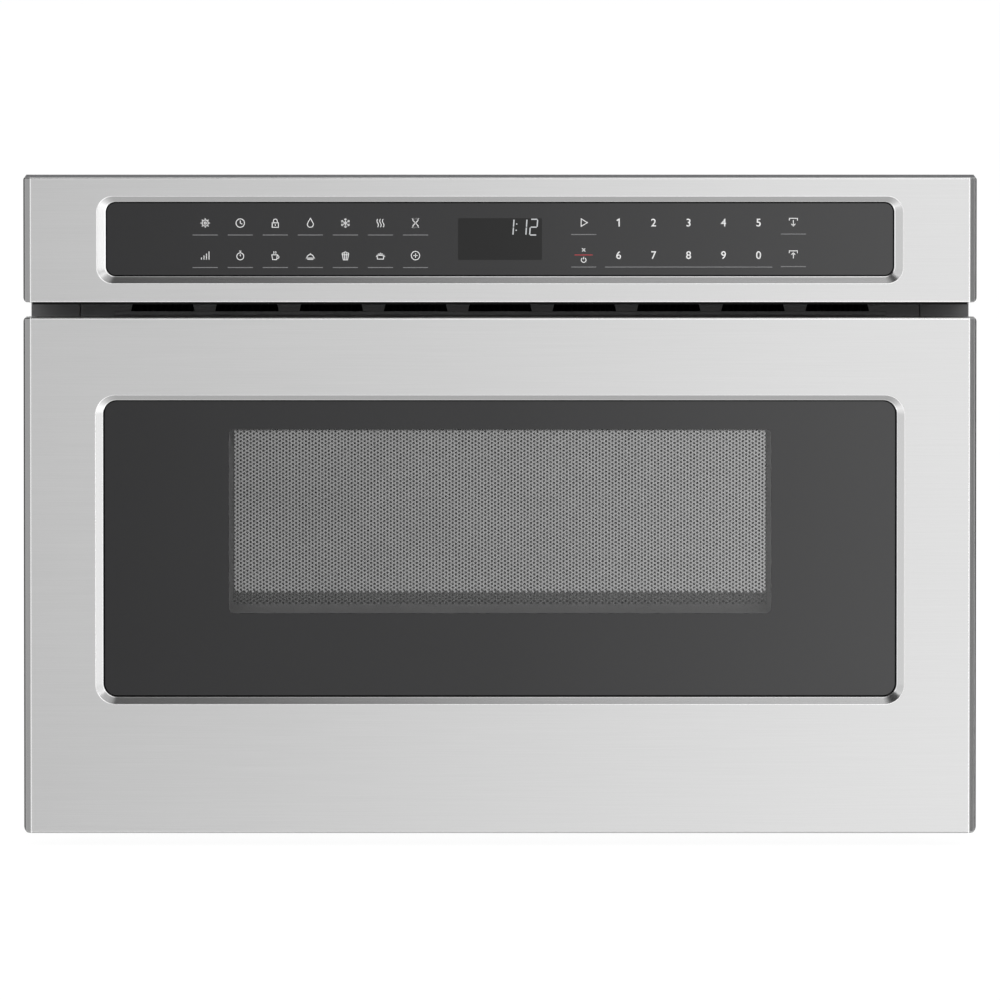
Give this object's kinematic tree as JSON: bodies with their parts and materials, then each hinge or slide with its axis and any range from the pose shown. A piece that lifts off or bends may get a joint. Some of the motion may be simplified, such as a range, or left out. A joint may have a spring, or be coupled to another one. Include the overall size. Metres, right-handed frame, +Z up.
{
  "type": "microwave drawer",
  "caption": "Built-in microwave oven with a motor-driven drawer: stainless fronts, touch control panel, windowed drawer with a tub on slides.",
  "frame": {"origin": "on the centre line, in the plane of the cabinet face (the back of the mounting flanges), at the underside of the base plate", "axes": "+X to the right seen from the front, +Y into the cabinet, +Z up; the drawer opens towards -Y"},
  "size_m": [0.606, 0.599, 0.418],
  "materials": {
    "stainless": "fine horizontal brushing, satin",
    "galvanised": "galvanised sheet, spangled",
    "plated_steel": "zinc plated",
    "dark_sheet": "dark grey powder coat",
    "grey_enamel": "speckled grey enamel",
    "black_glass": "black glass, printed border",
    "clear_glass": "clear tempered glass",
    "black_plastic": "moulded, fine texture",
    "white_plastic": "moulded acetal",
    "red_plastic": "moulded",
    "mica": "pressed mica sheet",
    "aluminium": "rolled sheet",
    "transformer_steel": "varnished laminations",
    "circuit_board": "solder mask",
    "ceramic": "smooth white glass ceramic",
    "perforated_steel": "perforated sheet, grey paint",
    "bronze": "sintered bronze"
  },
  "bodies": {
    "cabinet": {"base_plate": "galvanised", "side_panel_left": "galvanised", "side_panel_right": "galvanised", "top_plate": "galvanised", "back_plate": "galvanised", "front_plate": "dark_sheet", "mounting_flange_left": "dark_sheet", "mounting_flange_right": "dark_sheet", "cavity_wrap": "grey_enamel", "cavity_roof": "grey_enamel", "cavity_back": "grey_enamel", "stirrer_dome": "galvanised", "stirrer_cover": "mica", "waveguide": "galvanised", "stirrer_motor": "plated_steel", "magnetron": "aluminium", "transformer": "transformer_steel", "hv_capacitor": "aluminium", "hv_diode": "black_plastic", "blower_housing": "black_plastic", "blower_motor": "plated_steel", "filter_board": "circuit_board", "cavity_lamp": "plated_steel", "thermal_cutouts": "black_plastic", "control_bezel": "stainless", "control_glass": "black_glass", "display_module": "black_plastic", "control_board": "circuit_board", "control_housing": "dark_sheet", "vent_louvre": "dark_sheet", "drive_motor": "plated_steel", "shaft_bearings": "bronze", "outer_slides": "plated_steel", "interlock_brackets": "plated_steel", "microswitches": "red_plastic", "cord_gland": "black_plastic", "casing_screws": "plated_steel"},
    "stirrer": {"stirrer": "aluminium"},
    "blower_wheel": {"blower_wheel": "black_plastic"},
    "drive_shaft": {"drive_shaft": "plated_steel", "drive_gear": "white_plastic", "rack_pinions": "white_plastic"},
    "motor_pinion": {"motor_pinion": "white_plastic"},
    "middle_slides": {"middle_slides": "plated_steel"},
    "outer_ball_cages": {"outer_ball_cages": "plated_steel"},
    "inner_ball_cages": {"inner_ball_cages": "plated_steel"},
    "drawer": {"drawer_front_skin": "stainless", "window_glass": "black_glass", "door_frame": "dark_sheet", "mesh_screen": "perforated_steel", "choke_frame": "galvanised", "choke_cover": "black_plastic", "inner_pane": "clear_glass", "drawer_tub": "grey_enamel", "ceramic_plate": "ceramic", "inner_slides": "plated_steel", "drawer_rails": "plated_steel", "racks": "white_plastic", "latch_hooks": "white_plastic", "door_screws": "plated_steel"}
  },
  "joints": [
    {"name": "drawer_slide", "type": "slide", "parent": "cabinet", "child": "drawer", "axis": [0, -1, 0], "range_m": [0, 0.395]},
    {"name": "middle_slide_travel", "type": "slide", "parent": "cabinet", "child": "middle_slides", "axis": [0, -1, 0], "range_m": [0, 0.198]},
    {"name": "outer_cage_travel", "type": "slide", "parent": "cabinet", "child": "outer_ball_cages", "axis": [0, -1, 0], "range_m": [0, 0.099]},
    {"name": "inner_cage_travel", "type": "slide", "parent": "cabinet", "child": "inner_ball_cages", "axis": [0, -1, 0], "range_m": [0, 0.297]},
    {"name": "drive_shaft_turn", "type": "hinge", "parent": "cabinet", "child": "drive_shaft", "pos_m": [0, 0.024, 0.0235], "axis": [1, 0, 0], "range_deg": [-2, 1813]},
    {"name": "motor_pinion_turn", "type": "hinge", "parent": "cabinet", "child": "motor_pinion", "pos_m": [0, 0.05525, 0.0235], "axis": [1, 0, 0], "range_deg": [-3222, 3]},
    {"name": "stirrer_turn", "type": "hinge", "parent": "cabinet", "child": "stirrer", "pos_m": [0, 0.214, 0], "axis": [0, 0, 1], "continuous": true},
    {"name": "blower_turn", "type": "hinge", "parent": "cabinet", "child": "blower_wheel", "pos_m": [0.165, 0, 0.19], "axis": [0, 1, 0], "continuous": true}
  ],
  "couplings": [
    {"joint": "middle_slide_travel", "follows": "drawer_slide", "ratio": 0.5},
    {"joint": "outer_cage_travel", "follows": "drawer_slide", "ratio": 0.25},
    {"joint": "inner_cage_travel", "follows": "drawer_slide", "ratio": 0.75},
    {"joint": "drive_shaft_turn", "follows": "drawer_slide", "rad_per_m": 80},
    {"joint": "motor_pinion_turn", "follows": "drawer_slide", "rad_per_m": -142.22}
  ]
}
